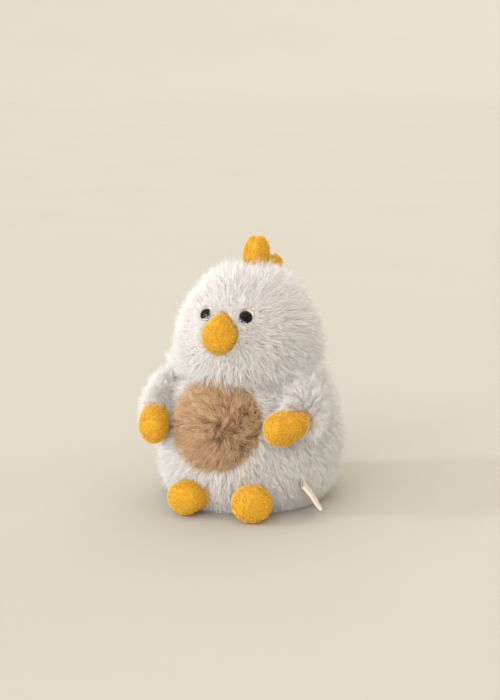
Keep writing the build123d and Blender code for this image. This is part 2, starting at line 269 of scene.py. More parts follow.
def strand_faces(heights):
    """Triangles and UVs of one strand: rings of three points at some heights, then a tip."""
    faces, uvs = [], []
    for ring, (low, high) in enumerate(zip(heights, heights[1:])):
        for k in range(3):
            a, b = ring * 3 + k, ring * 3 + (k + 1) % 3
            faces += [(a, b, b + 3), (a, b + 3, a + 3)]
            uvs += [((0, low), (1, low), (1, high)), ((0, low), (1, high), (0, high))]
    base = 3 * (len(heights) - 1)
    for k in range(3):
        faces.append((base + k, base + (k + 1) % 3, base + 3))
        uvs.append(((0, heights[-1]), (1, heights[-1]), (0.5, 1.0)))
    return np.array(faces), np.array(uvs, float)


def strand_points(spine, way, width, spread, taper):
    """Three points round each place of the spines but the last, which is the strands' tips."""
    side = unit(np.cross(way, rng.normal(0, 1, way.shape)))
    other = unit(np.cross(way, side))
    thick = (width * rng.uniform(*spread, len(way)))[:, None]
    rings = []
    for middle, share in zip(spine, taper):
        for k in range(3):
            angle = 2 * math.pi * k / 3
            offset = math.cos(angle) * side + math.sin(angle) * other
            rings.append(middle + offset * thick * share)
    return np.stack(rings + [spine[-1]], axis=1)


def add_strands(name, body, material, slot, points, heights):
    """One piece made of strands, where each strand lies in one colour column of its UV map."""
    faces, uvs = strand_faces(heights)
    count, corners = points.shape[:2]
    triangles = (faces[None] + corners * np.arange(count)[:, None, None]).reshape(-1, 3)
    obj = piece(name, points.reshape(-1, 3), triangles, material, body, slot)
    column = (np.arange(count) % COLUMNS)[:, None, None]
    uv = np.broadcast_to(uvs[None], (count, *uvs.shape)).copy()
    uv[..., 0] = (uv[..., 0] * 0.8 + 0.1 + column) / COLUMNS
    uv[..., 1] = uv[..., 1] * 0.98 + 0.01
    layer = obj.data.uv_layers.new(name="OFBake")
    layer.data.foreach_set("uv", uv.astype(np.float32).ravel())


def grow(name, body, material, slot, roots, normals, comb, length, lift=0.55, lean=0.25,
         clump_mm2=2.2, clump=0.5, messy=0.28, droop=0.10):
    """Long pile as real tapered strands, in as many pieces as their size needs.

    comb is the lie of the pile along the surface, lean the share of it at the root and lift
    the share of the normal that the strand's end keeps. Each strand leans towards the leader
    of its lock."""
    count = len(roots)
    lean = np.broadcast_to(lean, count)[:, None]
    start = unit(normals + lean * comb + rng.normal(0, 0.16, (count, 3)))
    lift = np.broadcast_to(lift, count)[:, None]
    finish = unit(lift * normals + (1 - lift) * 1.4 * comb + rng.normal(0, messy, (count, 3))
                  - droop * UP)
    length = (length * rng.uniform(0.62, 1.18, count))[:, None]

    lock_size = math.sqrt(clump_mm2) * MM
    locks = max(1, int(count * min(1, 1 / (clump_mm2 * 3.5 * DENSITY))))
    leaders = rng.choice(count, locks, replace=False)
    leader = leaders[nearest_of(roots[leaders], roots)]
    loose = (rng.random(count) < LOOSE_SHARE)[:, None]
    finish = unit(finish + loose * rng.normal(0, 0.45, (count, 3)))
    pull = clump * rng.uniform(0.5, 1.15, count)[:, None] * np.where(loose, 0.2, 1.0)
    distance = np.linalg.norm(roots - roots[leader], axis=1)[:, None]
    pull = pull * smoothstep(3 * lock_size, lock_size, distance)
    lead_finish = unit(finish[leader] + rng.normal(0, 0.10, (count, 3)))
    finish = unit(finish * (1 - 0.6 * pull) + 0.6 * pull * lead_finish)

    wave = rng.normal(0, 0.035, (count, 3))
    spine = []
    for s in (*STRAND_HEIGHTS, 1.0):
        own = roots + length * ((s - s * s / 2) * start + s * s / 2 * finish)
        drawn = own + (own[leader] - own) * pull * s ** 1.5
        place = drawn + length * wave * math.sin(math.pi * s * 1.5)
        place[:, 2] = np.maximum(place[:, 2], FLOOR_CLEAR)
        spine.append(place)
    points = strand_points(spine, finish, STRAND_WIDTH, (0.75, 1.25), (1.0, 0.85, 0.55))
    pieces = math.ceil(count / MAX_STRANDS)
    for number, members in enumerate(np.array_split(rng.permutation(count), pieces), 1):
        label = name if pieces == 1 else f"{name}_{number}"
        add_strands(label, body, material, slot, points[members], STRAND_HEIGHTS)


def nap(name, body, material, slot, points, triangles, comb, keep):
    """Short pile: small cones that lean the way the nap lies, drawn together into tufts."""
    roots, normals = scatter(points, triangles, NAP_PER_MM2, keep)
    count = len(roots)
    way = unit(0.8 * normals + 0.35 * along_surface(comb, normals)
               + rng.normal(0, 0.24, (count, 3)))
    size = (NAP_LENGTH * rng.uniform(0.6, 1.2, count))[:, None]
    tip = roots + size * way
    leaders = rng.choice(count, max(1, count // NAP_TUFT), replace=False)
    leader = leaders[nearest_of(roots[leaders], roots)]
    tip = tip + (tip[leader] - tip) * rng.uniform(0.25, 0.6, count)[:, None]
    tip[:, 2] = np.maximum(tip[:, 2], 0.05 * MM)          # none goes below the floor
    middle = roots * 0.42 + tip * 0.58 + 0.16 * size * normals
    middle[:, 2] = np.maximum(middle[:, 2], 0.15 * MM)
    cones = strand_points((roots, middle, tip), way, NAP_WIDTH, (0.8, 1.3), (1.0, 0.8))
    add_strands(name, body, material, slot, cones, NAP_HEIGHTS)


# ---- materials
class Nodes:
    """A short way to write a node tree."""

    def __init__(self, name):
        self.material = bpy.data.materials.new(name)
        self.material.use_nodes = True
        self.tree = self.material.node_tree
        self.shader = self.tree.nodes["Principled BSDF"]

    def add(self, kind, **values):
        node = self.tree.nodes.new(kind)
        for key, value in values.items():
            if hasattr(node, key):
                setattr(node, key, value)
            else:
                node.inputs[key.replace("_", " ")].default_value = value
        return node

    def link(self, source, target):
        self.tree.links.new(source, target)

    def set(self, **values):
        for key, value in values.items():
            self.shader.inputs[key.replace("_", " ")].default_value = value

    def ramp(self, source, stops):
        node = self.add("ShaderNodeValToRGB")
        elements = node.color_ramp.elements
        while len(elements) < len(stops):
            elements.new(0.5)
        for element, (place, colour) in zip(elements, stops):
            element.position = place
            element.color = (*colour, 1)
        self.link(source, node.inputs[0])
        return node.outputs["Color"]

    def mix(self, factor, a, b, blend="MIX"):
        node = self.add("ShaderNodeMix", data_type="RGBA", blend_type=blend)
        for value, socket in ((factor, node.inputs[0]), (a, node.inputs[6]), (b, node.inputs[7])):
            if isinstance(value, bpy.types.NodeSocket):
                self.link(value, socket)
            elif isinstance(value, tuple):
                socket.default_value = (*value, 1)
            else:
                socket.default_value = value
        return node.outputs[2]

    def noise(self, scale, detail=3.0):
        coordinates = self.add("ShaderNodeTexCoord")
        texture = self.add("ShaderNodeTexNoise", Scale=scale, Detail=detail)
        self.link(coordinates.outputs["Object"], texture.inputs["Vector"])
        return texture.outputs["Fac"]

    def math(self, operation, source, value=0.0):
        node = self.add("ShaderNodeMath", operation=operation)
        node.inputs[1].default_value = value
        self.link(source, node.inputs[0])
        return node.outputs[0]

    def split(self, vector):
        node = self.add("ShaderNodeSeparateXYZ")
        self.link(vector, node.inputs["Vector"])
        return node.outputs

    def uneven_gloss(self, texture, low, high):
        rough = self.add("ShaderNodeMapRange", To_Min=low, To_Max=high)
        self.link(texture, rough.inputs["Value"])
        self.link(rough.outputs["Result"], self.shader.inputs["Roughness"])

    def bump(self, height, strength, distance):
        node = self.add("ShaderNodeBump", Strength=strength, Distance=distance)
        self.link(height, node.inputs["Height"])
        self.link(node.outputs["Normal"], self.shader.inputs["Normal"])


def shaded(colour, share):
    return tuple(c * share for c in colour)


def pile_material(name, root, middle, tip, spread, sheen=0.1):
    """Pile colour from root to tip, with a different shade for each column of strands."""
    m = Nodes(name)
    uv = m.split(m.add("ShaderNodeUVMap", uv_map="OFBake").outputs["UV"])
    colour = m.ramp(uv["Y"], [(0.0, root), (0.45, middle), (1.0, tip)])
    column = m.math("FLOOR", m.math("MULTIPLY", uv["X"], COLUMNS))
    random = m.add("ShaderNodeTexWhiteNoise", noise_dimensions="1D")
    m.link(column, random.inputs["W"])
    shade = m.ramp(random.outputs["Value"], [(0.0, spread[0]), (1.0, spread[1])])
    tinted = m.mix(1.0, colour, shade, "MULTIPLY")
    m.link(tinted, m.shader.inputs["Base Color"])
    m.set(Roughness=0.75, Sheen_Weight=sheen, Sheen_Roughness=0.4, Specular_IOR_Level=0.2)
    return m.material


def cloth_material(name, colour, shade, weave=1800.0, bump=0.3, sheen=0.2):
    """Knitted backing or woven cloth, with uneven colour and a fine raised weave."""
    m = Nodes(name)
    patchy = m.noise(90.0, 4.0)
    m.link(m.mix(m.ramp(patchy, [(0.35, (0, 0, 0)), (0.65, (1, 1, 1))]), shade, colour),
           m.shader.inputs["Base Color"])
    m.bump(m.noise(weave, 2.0), bump, 0.2 * MM)
    m.set(Roughness=0.85, Sheen_Weight=sheen, Sheen_Roughness=0.5, Specular_IOR_Level=0.2)
    return m.material


def metal_material(name, colour, roughness):
    """Plated metal with fine wear in its gloss."""
    m = Nodes(name)
    wear = m.noise(420.0, 6.0)
    m.link(m.ramp(wear, [(0.4, shaded(colour, 0.92)), (0.6, colour)]),
           m.shader.inputs["Base Color"])
    m.uneven_gloss(wear, roughness * 0.7, roughness * 1.5)
    m.bump(m.noise(2600.0, 2.0), 0.06, 0.05 * MM)
    m.set(Metallic=1.0)
    return m.material


def plastic_material(name, colour, roughness, specular=0.5):
    m = Nodes(name)
    speck = m.noise(900.0, 3.0)
    m.link(m.ramp(speck, [(0.3, shaded(colour, 0.85)), (0.7, colour)]),
           m.shader.inputs["Base Color"])
    m.uneven_gloss(speck, roughness * 0.8, roughness * 1.3)
    m.set(Specular_IOR_Level=specular)
    return m.material


def stage_material(name, colour):
    """Matt paper, with painted shade where it turns up and faces the lamps, which evens out its
    brightness.
    """
    m = Nodes(name)
    place = m.split(m.add("ShaderNodeTexCoord").outputs["Object"])
    height = m.math("MULTIPLY", place["Z"], 1 / STAGE_FADE)
    fading = ((0.0, 1.0), (0.1, 0.965), (0.35, 0.90), (0.9, 0.86))
    tone = m.ramp(height, [(stop, shaded(colour, share)) for stop, share in fading])
    grain = m.ramp(m.noise(6.0, 2.0), [(0.3, (0.985, 0.985, 0.985)), (0.7, (1, 1, 1))])
    m.link(m.mix(1.0, tone, grain, "MULTIPLY"), m.shader.inputs["Base Color"])
    m.set(Roughness=0.9, Specular_IOR_Level=0.1)
    return m.material


# The white pile's beige root colour is partly the pile's warmer undercoat and partly painted shade:
# it darkens the gaps between strands, where shade falls.
WHITE_PILE = pile_material("white_pile", (0.76, 0.66, 0.56), (0.96, 0.945, 0.93),
                           (0.97, 0.97, 0.97), ((0.90, 0.885, 0.87), (1, 1, 1)))
BROWN_PILE = pile_material("brown_pile", (0.27, 0.14, 0.07), (0.68, 0.43, 0.235),
                           (0.93, 0.67, 0.42), ((0.68, 0.65, 0.62), (1, 1, 1)))
# The nap's lighter tips are partly painted sheen: the ends of the nap that catch the light are
# coloured lighter.
MUSTARD_NAP = pile_material("mustard_nap", (0.66, 0.34, 0.010), (0.98, 0.60, 0.040),
                            (1.0, 0.78, 0.17), ((0.84, 0.80, 0.74), (1, 1, 1)), sheen=0.12)
MUSTARD_CLOTH = cloth_material("mustard_cloth", (0.76, 0.42, 0.03), (0.62, 0.33, 0.02), sheen=0.3)
WHITE_CLOTH = cloth_material("white_backing", (0.93, 0.90, 0.87), (0.86, 0.82, 0.78))
BROWN_CLOTH = cloth_material("brown_backing", (0.30, 0.18, 0.10), (0.22, 0.13, 0.07))
FILLING = cloth_material("polyester_filling", (0.90, 0.90, 0.88), (0.80, 0.80, 0.78), 700.0, 0.8)
BASE_CLOTH = cloth_material("base_cloth", (0.76, 0.72, 0.66), (0.68, 0.63, 0.56), 1200.0)
LABEL_TAPE = cloth_material("label_tape", (0.80, 0.74, 0.62), (0.72, 0.65, 0.52), 2600.0, 0.2)
RIBBON = cloth_material("ribbon", (0.82, 0.77, 0.68), (0.74, 0.68, 0.58), 1500.0, 0.35)
THREAD = cloth_material("thread", (0.86, 0.83, 0.77), (0.78, 0.74, 0.67), 3000.0, 0.2)
EYE_BLACK = plastic_material("eye_black", (0.004, 0.004, 0.005), 0.09, specular=0.22)
WASHER = plastic_material("washer_plastic", (0.80, 0.80, 0.78), 0.55)
NICKEL = metal_material("nickel_plate", (0.66, 0.645, 0.61), 0.18)


# ---- camera, light and stage
CAMERA_ROUND = 20            # degrees from the chick's front to the camera


def add_camera():
    """A long lens, round from the front and a little above the chick."""
    camera = bpy.data.objects.new("camera", bpy.data.cameras.new("camera"))
    bpy.context.scene.collection.objects.link(camera)
    azimuth, distance, height = math.radians(CAMERA_ROUND), 737 * MM, 215 * MM
    camera.location = (distance * math.sin(azimuth), -distance * math.cos(azimuth), height)
    target = Vector((0, 0, 68 * MM))
    camera.rotation_euler = (target - camera.location).to_track_quat("-Z", "Y").to_euler()
    camera.data.lens = 84
    camera.data.clip_start = 0.01
    bpy.context.scene.camera = camera


def add_sun(name, energy, angle, colour, across, elevation):
    """A distant lamp, at angles in degrees across from the camera's side and above it."""
    sun = bpy.data.objects.new(name, bpy.data.lights.new(name, "SUN"))
    bpy.context.scene.collection.objects.link(sun)
    sun.data.energy = energy
    sun.data.angle = math.radians(angle)
    sun.data.color = colour
    across, elevation = math.radians(CAMERA_ROUND + across), math.radians(elevation)
    toward = Vector((math.sin(across) * math.cos(elevation),
                     -math.cos(across) * math.cos(elevation), math.sin(elevation)))
    sun.rotation_euler = toward.to_track_quat("Z", "Y").to_euler()


def add_light():
    """A low key from the left of the picture, a broad lamp in front, and an even fill."""
    add_sun("key", 1.1, 10, (0.82, 0.89, 1.0), -80, 27)
    add_sun("front", 3.6, 70, (1.0, 0.97, 0.93), -22, 7)
    add_sun("back", 0.8, 60, (1.0, 0.96, 0.9), 165, 35)
    world = bpy.data.worlds.new("studio")
    world.use_nodes = True
    background = world.node_tree.nodes["Background"]
    background.inputs["Color"].default_value = (1.0, 0.93, 0.83, 1)
    background.inputs["Strength"].default_value = 1.02
    bpy.context.scene.world = world


def stage_surface(name, profile, material):
    triangles = ring_triangles(len(profile), SPOKES, capped=False)[:, ::-1]
    obj = new_object(name, turned(profile), triangles, material)
    return obj


def add_stage():
    """A pale round floor that curves up into a backdrop on every side."""
    material = stage_material("stage", (0.509, 0.491, 0.436))
    edge, bend, height = 4.0, 1.2, 3.0
    stage_surface("stage", [(edge * share, 0.0) for share in (0.001, 0.04, 0.2, 1.0)], material)
    rise = [math.radians(90 * step / 16) for step in range(17)]
    profile = [(edge + bend * math.sin(a), bend - bend * math.cos(a)) for a in rise]
    backdrop = stage_surface("backdrop", profile + [(edge + bend, height)], material)
    backdrop.visible_shadow = False              # the lamps and the sky shine past it
    backdrop.visible_diffuse = False


bpy.context.scene.view_settings.view_transform = "Standard"
add_camera()
add_light()
add_stage()


# ---- landmarks, all from the frame
EYES = {name: centre_of(f"{name}_eye") for name in SIDES}
BEAK, BEAK_HALF = centre_of("beak_cover"), half_size_of("beak_cover")
PATCH, PATCH_HALF = centre_of("belly_patch"), half_size_of("belly_patch")
PATCH_FRONT = np.array((PATCH[0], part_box("belly_patch")[0].y, PATCH[2]))
NECK_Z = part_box("head_cover")[0].z
FEET = {name: centre_of(f"{name}_foot_cover") for name in SIDES}
SHOULDERS = {name: np.array((side * 29 * MM, -6 * MM, NECK_Z - 5 * MM))
             for name, side in SIDES.items()}
JOINTS = {joint["name"]: joint for joint in frame["record"]["behaviour"]["joints"]}
HANG = np.array(JOINTS["loop_swing"]["pos_m"])       # where the ribbon leaves the head's seam
BAR = np.array(JOINTS["bail_swing"]["pos_m"])        # middle of the bail's bar
CHAIN_END = np.array((0.0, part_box("clasp_hook")[1].y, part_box("clasp_hook")[0].z))
DOWN = unit(BAR - HANG)                              # down the hanging chain
OUT = np.cross((1.0, 0.0, 0.0), DOWN)                # out from the chick's back


def near(points, place, inner, outer):
    """1 at a place, falling to 0 between two distances from it."""
    return smoothstep(outer, inner, np.linalg.norm(points - place, axis=1))


def near_either(points, places, inner, outer):
    """The same for the nearer of a left and a right place."""
    return np.maximum(*(near(points, place, inner, outer) for place in places.values()))


def patch_radius(points):
    """Distance from the middle of the belly patch, 1 at its sewn edge."""
    radius = np.hypot((points[:, 0] - PATCH[0]) / PATCH_HALF[0],
                      (points[:, 2] - PATCH[2]) / PATCH_HALF[2])
    return np.where(points[:, 1] < 0, radius, 9.0)


def chain_nearness(points):
    """1 under the ribbon and clasp, which press the pile of the back down."""
    along = smoothstep(CHAIN_END[2] - 4 * MM, CHAIN_END[2] + 3 * MM, points[:, 2])
    along = along * smoothstep(HANG[2] - 1 * MM, HANG[2] - 7 * MM, points[:, 2])
    across = smoothstep(11 * MM, 6 * MM, np.abs(points[:, 0]))
    return np.where(points[:, 1] > 0, along * across, 0.0)


def crown_nearness(points):
    return smoothstep(NECK_Z + 30 * MM, NECK_Z + 38 * MM, points[:, 2])


def face_nearness(points):
    """1 around the beak and eyes, where the pile is short and close."""
    return near(points, BEAK + (0, 4 * MM, 2 * MM), 11 * MM, 21 * MM)


# ---- head
def neck_held(moved, points):
    """Head and torso meet at the neck seam, so the cloth keeps its height there."""
    at_neck = smoothstep(1.6 * MM, 0.5 * MM, np.abs(points[:, 2] - NECK_Z))
    moved[:, 2] *= 1 - at_neck
    return moved


def head_sink(points, normals):
    depth = BODY_CLOTH_DEPTH - 1.3 * MM * face_nearness(points)
    depth = depth + (0.9 * MM - depth) * near_either(points, EYES, 4 * MM, 8 * MM)
    return neck_held(-depth[:, None] * normals, points)


def swirl(points, waves):
    """A gentle disorder of direction: for X, Y and Z, waves along each axis and a phase."""
    return np.stack([np.sin(points @ np.array(wave) + phase) for wave, phase in waves], axis=1)


def head_comb(points, normals):
    """The pile radiates from the beak, sweeps back over the crown and falls at the cheeks."""
    away = unit(points - (BEAK + (0, 6 * MM, 1 * MM)))
    for eye in EYES.values():
        bulge = near(points, eye, 3 * MM, 7 * MM)[:, None]
        away = away + 0.75 * bulge * unit(points - eye)
    back = smoothstep(NECK_Z + 22 * MM, NECK_Z + 40 * MM, points[:, 2])[:, None]
    away = away + 0.5 * back * np.array((0, 1.0, 0.15))
    low = smoothstep(NECK_Z + 22 * MM, NECK_Z, points[:, 2])[:, None]
    away = away - 0.8 * low * UP
    turns = swirl(points, [((0, 90, 160), 0.0), ((130, 0, 0), 1.3), ((0, 150, 0), 0.6)])
    return along_surface(away + 0.28 * turns, normals)


EYE_BARE = 2.7 * MM          # radius of the bare cloth that an eye is set in


def beak_narrowing(points):
    """The beak's width as a share of its widest, by height: it narrows to its top."""
    rise = np.clip((points[:, 2] - BEAK[2]) / BEAK_HALF[2], 0, 1)
    return 1 - 0.5 * rise ** 1.4


def head_keep(points):
    """No pile under the beak or where an eye sits."""
    across = (points[:, 0] - BEAK[0]) / (BEAK_HALF[0] * 0.92 * beak_narrowing(points))
    beak = across ** 2 + ((points[:, 2] - BEAK[2]) / (BEAK_HALF[2] * 0.92)) ** 2 < 1
    eyes = np.minimum(*(np.hypot(points[:, 0] - eye[0], points[:, 2] - eye[2])
                        for eye in EYES.values())) < EYE_BARE
    return np.where((beak | eyes) & (points[:, 1] < 0), 0.0, 1.0)


def head_length(points):
    face = face_nearness(points)
    eyes = near_either(points, EYES, 3 * MM, 9 * MM)
    brow = smoothstep(4 * MM, 12 * MM, points[:, 2] - BEAK[2]) * near(points, BEAK, 10 * MM, 16 * MM)
    neck = smoothstep(NECK_Z + 12 * MM, NECK_Z, points[:, 2])
    size = BODY_PILE * (1 - 0.42 * face) * (1 - 0.18 * eyes) * (1 - 0.25 * brow)
    size = size * (1 + 0.16 * crown_nearness(points) + 0.12 * neck)
    return size * (1 - 0.45 * chain_nearness(points))


def body_lift(points):
    """How far the pile stands up: least under the clasp, most on the crown and at the neck."""
    neck = smoothstep(12 * MM, 2 * MM, np.abs(points[:, 2] - NECK_Z))
    return 0.55 + 0.10 * (crown_nearness(points) + neck) - 0.30 * chain_nearness(points)


head_skin = wrap(["head_cover", "head_stuffing", "left_eye_washer", "right_eye_washer"],
                 head_sink, level=6, smooth=6, bridge=[(eye, 4.8 * MM) for eye in EYES.values()])
piece("head_skin", *head_skin, WHITE_CLOTH, "body", "white_pile", ["head_cover"], fill=0.85)
roots, normals = scatter(*head_skin, HEAD_PER_MM2, head_keep)
grow("head_fur", "body", WHITE_PILE, "white_pile", roots, normals, head_comb(roots, normals),
     head_length(roots), lift=body_lift(roots))
roots, normals = scatter(*head_skin, FACE_PER_MM2,
                         lambda points: head_keep(points) * face_nearness(points))
grow("face_fur", "body", WHITE_PILE, "white_pile", roots, normals, head_comb(roots, normals),
     0.75 * head_length(roots), lift=0.5)


# ---- torso
def torso_sink(points, normals):
    """The cloth lies flat above the base panel and sinks under the pile elsewhere."""
    moved = neck_held(-BODY_CLOTH_DEPTH * normals, points)
    flat = smoothstep(2.5 * MM, 0.5 * MM, points[:, 2])
    moved[:, 2] = moved[:, 2] * (1 - flat) + 1.2 * MM * flat
    return moved


def shoulder_nearness(points):
    return near_either(points, SHOULDERS, 6 * MM, 17 * MM)


def torso_comb(points, normals):
    """The pile falls, and turns outwards round the belly patch and towards the flanks."""
    away = unit(points - PATCH_FRONT) * near(points, PATCH_FRONT, 18 * MM, 46 * MM)[:, None]
    field = -0.75 * UP + 0.9 * away + 1.1 * UP * shoulder_nearness(points)[:, None]
    turns = swirl(points, [((0, 0, 120), 0.4), ((110, 0, 0), 0.0), ((140, 100, 0), 0.0)])
    return along_surface(field + 0.30 * turns, normals)


def on_patch(points):
    """1 inside the belly patch's sewn edge."""
    return np.where(patch_radius(points) < 0.97, 1.0, 0.0)


def torso_keep(points):
    """No pile under the belly patch or against the base panel."""
    return np.where(points[:, 2] < 1.4 * MM, 0.0, 1 - on_patch(points))


def feet_nearness(points):
    return near_either(points, FEET, 10 * MM, 18 * MM)


def crease_nearness(points):
    """1 just under the chin and cheeks, where the head's pile hangs over short pile."""
    under = smoothstep(7 * MM, 2 * MM, np.abs(points[:, 2] - (NECK_Z - 3 * MM)))
    middle = smoothstep(24 * MM, 13 * MM, np.abs(points[:, 0]))
    return under * middle * smoothstep(0.0, -10 * MM, points[:, 1])


def torso_length(points):
    low = smoothstep(16 * MM, 2 * MM, points[:, 2])
    neck = smoothstep(NECK_Z - 8 * MM, NECK_Z, points[:, 2])
    feet = feet_nearness(points)
    size = BODY_PILE * (1 - 0.30 * low) * (1 + 0.05 * neck) * (1 + 0.10 * feet)
    size = size * (1 + 0.35 * shoulder_nearness(points)) * (1 - 0.38 * crease_nearness(points))
    return size * (1 - 0.45 * chain_nearness(points))


torso_skin = wrap(["torso_cover", "torso_stuffing", "belly_patch", "base_panel"], torso_sink,
                  level=6, smooth=3, centre=np.array((0.0, 0.0, 32 * MM)))
piece("torso_skin", *torso_skin, WHITE_CLOTH, "body", "white_pile", ["torso_cover"], fill=0.8)
roots, normals = scatter(*torso_skin, TORSO_PER_MM2, torso_keep)
grow("torso_fur", "body", WHITE_PILE, "white_pile", roots, normals, torso_comb(roots, normals),
     torso_length(roots),
     lift=body_lift(roots) - 0.15 * feet_nearness(roots) - 0.25 * crease_nearness(roots))


# ---- belly patch
def patch_comb(points, normals):
    """The brown pile parts near the middle, turns as it spreads and lies in many locks."""
    parting = PATCH_FRONT + np.array((2.0 * MM, 0, 0.5 * MM))
    away = points - parting
    turned = np.cross((0, -1.0, 0), away)
    x, z = points[:, 0], points[:, 2]
    locks = np.stack([np.sin(z * 520 + 2.0 * np.sin(x * 380)), 0 * x,
                      np.sin(x * 560 + 0.7 + 2.0 * np.sin(z * 410))], axis=1)
    field = unit(away) + 0.25 * unit(turned) + 0.55 * locks - np.array((0.40, 0, 0.05))
    return along_surface(field, normals)


def patch_length(points):
    edge = smoothstep(0.60, 1.0, patch_radius(points))
    left_side = smoothstep(-2 * MM, 12 * MM, points[:, 0] - PATCH[0])
    return 10.2 * MM * (1 - (0.28 + 0.20 * left_side) * edge)


roots, normals = scatter(*torso_skin, PATCH_PER_MM2, on_patch)
grow("belly_patch_pile", "body", BROWN_PILE, "brown_pile", roots, normals,
     patch_comb(roots, normals), patch_length(roots),
     lift=0.50, clump_mm2=2.6, clump=0.62, messy=0.24, droop=0.04)


def disc_on(tree, centre, half, lift):
    """Points and triangles of a round panel laid on a skin from the front."""
    rings, spokes = 14, 72
    turn = np.linspace(0, 2 * math.pi, spokes, endpoint=False)
    circle = np.stack([np.cos(turn), np.sin(turn)], axis=1) * half
    flat = np.vstack([np.zeros((1, 2))] + [circle * ring / rings for ring in range(1, rings + 1)])
    points = []
    for x, z in flat:
        start = Vector((centre[0] + x, centre[1] - 60 * MM, centre[2] + z))
        hit, normal = tree.ray_cast(start, Vector((0, 1, 0)))[:2]
        points.append(np.array(hit) + np.array(normal) * lift)
    middle = np.array([(0, 1 + k, 1 + (k + 1) % spokes) for k in range(spokes)])
    outer = ring_triangles(rings, spokes, capped=False)[:, ::-1] + 1
    return np.array(points), np.vstack([middle, outer])


def thicken(obj, thick):
    """Give a mesh of one layer its thickness, half to each side."""
    solid = obj.modifiers.new("thickness", "SOLIDIFY")
    solid.thickness = thick
    solid.offset = 0
    apply_modifiers(obj)


def apply_modifiers(obj):
    depsgraph = bpy.context.evaluated_depsgraph_get()
    mesh = bpy.data.meshes.new_from_object(obj.evaluated_get(depsgraph))
    obj.modifiers.clear()
    old, obj.data = obj.data, mesh
    bpy.data.meshes.remove(old)


torso_tree = BVHTree.FromPolygons(*(part.tolist() for part in torso_skin))
patch = piece("belly_patch_cloth", *disc_on(torso_tree, PATCH_FRONT, PATCH_HALF[[0, 2]], 0.35 * MM),
              BROWN_CLOTH, "body", "brown_pile", ["belly_patch"])
thicken(patch, 0.5 * MM)


# ---- fillings
def filling(name, node, body, points, triangles, share):
    """Loose polyester fibre that lies lumpily inside a cover, filling a share of its width."""
    middle = (points.min(axis=0) + points.max(axis=0)) / 2
    lump = np.sin(points[:, 0] * 900) * np.sin(points[:, 1] * 800 + 1) * np.sin(points[:, 2] * 850)
    inner = middle + (points - middle) * (share - 0.012 * (1 + lump))[:, None]
    piece(f"{name}_filling", inner, triangles, FILLING, body, "filling", [node], fill=0.7)


filling("head", "head_stuffing", "body", *head_skin, 0.97)
filling("torso", "torso_stuffing", "body", *torso_skin, 0.97)


# ---- wings, hands and feet
for name, side in SIDES.items():
    body = f"{name}_wing"
    hand = centre_of(f"{name}_hand_cover")
    forward = unit(hand - centre_of(f"{body}_cover"))
    skin = wrap([f"{body}_cover"], sunk(WING_CLOTH_DEPTH, forward, -0.4 * MM), smooth=3)
    piece(f"{body}_skin", *skin, WHITE_CLOTH, body, "white_pile", [f"{body}_cover"], fill=0.6)
    filling(body, f"{body}_stuffing", body, *skin, 0.90)
    roots, normals = scatter(*skin, WING_PER_MM2)
    over = smoothstep(-0.3, 0.5, normals[:, 2])[:, None]      # 1 over the wing's ridge
    field = 0.7 * forward + (1.6 * over - 0.5) * UP + rng.normal(0, 0.3, (len(roots), 3))
    by_hand = near(roots, hand, 9 * MM, 17 * MM)
    by_shoulder = 1 - near(roots, hand, 15 * MM, 30 * MM)
    field = field + by_shoulder[:, None] * np.array((0.4 * side, -0.3, 0.7))
    grow(f"{body}_fur", body, WHITE_PILE, "white_pile", roots, normals,
         along_surface(field + 1.5 * by_hand[:, None] * forward, normals),
         9.8 * MM * (1 + {"left": 0.10, "right": -0.10}[name] * by_hand + 0.18 * by_shoulder),
         lift=0.56 - 0.24 * by_hand - 0.12 * over[:, 0], lean=0.25 + 0.9 * by_hand, messy=0.38)


def groove(distance, depth, half_width):
    """How deep a sewn seam draws the cloth in, by the distance from the seam's line."""
    return depth * np.exp(-(distance / half_width) ** 2)


def beak_shape(points, normals):
    """A teardrop with a ridge down its upper half."""
    points[:, 0] = BEAK[0] + (points[:, 0] - BEAK[0]) * beak_narrowing(points)
    rise = (points[:, 2] - BEAK[2]) / BEAK_HALF[2]
    ridge = np.exp(-((points[:, 0] - BEAK[0]) / (1.3 * MM)) ** 2) * smoothstep(-0.25, 0.35, rise)
    points[:, 1] -= 0.8 * MM * ridge * (normals[:, 1] < 0)
    return points, np.ones(len(points))


def lobe_shape(middle, taller):
    def shape(points, normals):
        """A comb lobe is two cloth halves, sewn along its middle and stuffed up at its top."""
        low, high = points[:, 2].min(), points[:, 2].max()
        points[:, 2] += taller * smoothstep(low, high, points[:, 2])
        distance = points[:, 0] - middle[0]
        return (points - groove(distance, 1.0 * MM, 0.7 * MM)[:, None] * normals,
                smoothstep(0.25 * MM, 0.6 * MM, np.abs(distance)))
    return shape


def hand_shape(top):
    """A hand whose upper edge is pressed down to a share of its height."""
    def shape(points, normals):
        low, high = points[:, 2].min(), points[:, 2].max()
        turn_z = low + 0.66 * (high - low)
        above = points[:, 2] - turn_z
        points[:, 2] = np.where(above > 0, turn_z + above * (top + (1 - top) * np.exp(
            -above / (1.5 * MM))), points[:, 2])
        return points, np.ones(len(points))
    return shape


def foot_shape(points, normals):
    """A flat sole, sewn to the upper along a line just above the floor."""
    low, z = 1.15 * MM, points[:, 2]
    points[:, 2] = np.where(z < 2 * low, low * (0.75 + (z / (2 * low)) ** 2 * 1.25), z)
    distance = points[:, 2] - 3.0 * MM
    drawn = groove(distance, 0.5 * MM, 0.5 * MM)[:, None] * normals * (1, 1, 0)
    return points - drawn, smoothstep(0.10 * MM, 0.4 * MM, np.abs(distance))


